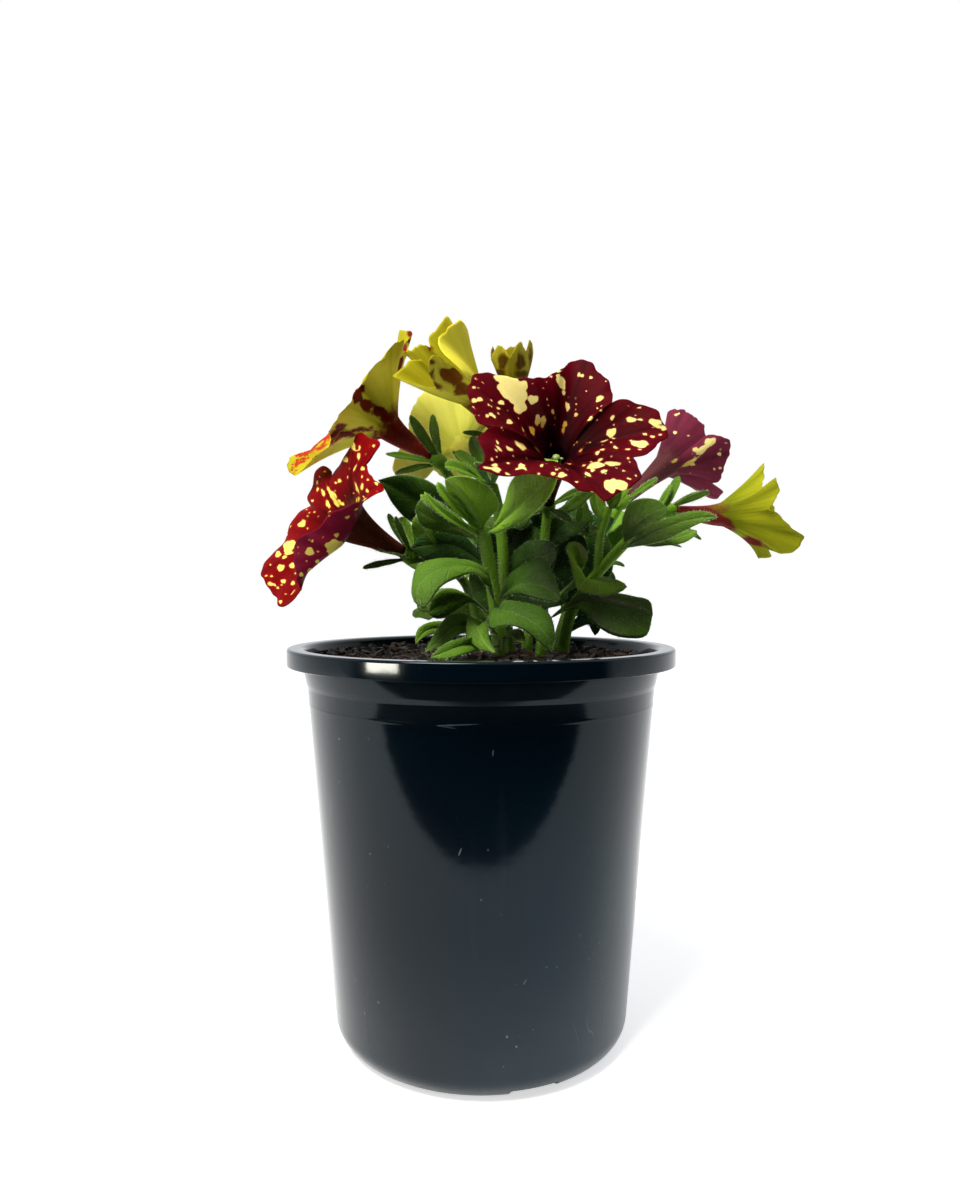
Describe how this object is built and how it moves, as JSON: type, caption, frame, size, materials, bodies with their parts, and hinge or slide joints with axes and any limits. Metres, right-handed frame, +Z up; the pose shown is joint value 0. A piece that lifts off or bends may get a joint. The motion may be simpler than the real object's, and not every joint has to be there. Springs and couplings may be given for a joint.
{
  "type": "potted petunia",
  "caption": "Bushy flowering petunia with dark red, cream-spotted and yellow-green blooms in a round black plastic nursery pot.",
  "frame": {"origin": "centre of the pot's flat base, on the surface it stands on", "axes": "+Z up along the pot's axis; -Y towards the viewer of the fullest side, +X to that viewer's right"},
  "size_m": [0.1978, 0.14, 0.2643],
  "materials": {
    "pot_plastic": "satin",
    "potting_mix": "matte",
    "foliage": "matte",
    "petal_dark_red": "matte",
    "petal_bright_red": "matte",
    "petal_yellow_green": "matte",
    "petal_pale_yellow": "matte",
    "petal_purple": "matte"
  },
  "bodies": {
    "root": {"pot": "pot_plastic", "potting_mix": "potting_mix", "leafy_stem_front": "foliage", "leafy_stem_centre": "foliage", "leafy_stem_bloom_front": "foliage", "leafy_stem_right": "foliage", "leafy_stem_left_low": "foliage", "leafy_stem_left_high": "foliage", "leafy_stem_back": "foliage", "leafy_stem_back_right": "foliage", "leafy_stem_back_left": "foliage", "bloom_front": "petal_dark_red", "bloom_upper_left": "petal_yellow_green", "bloom_lower_left": "petal_bright_red", "bloom_back": "petal_pale_yellow", "bloom_right_back": "petal_purple", "bloom_right": "petal_yellow_green", "bud_top": "petal_yellow_green", "bud_small": "petal_yellow_green"}
  },
  "joints": []
}
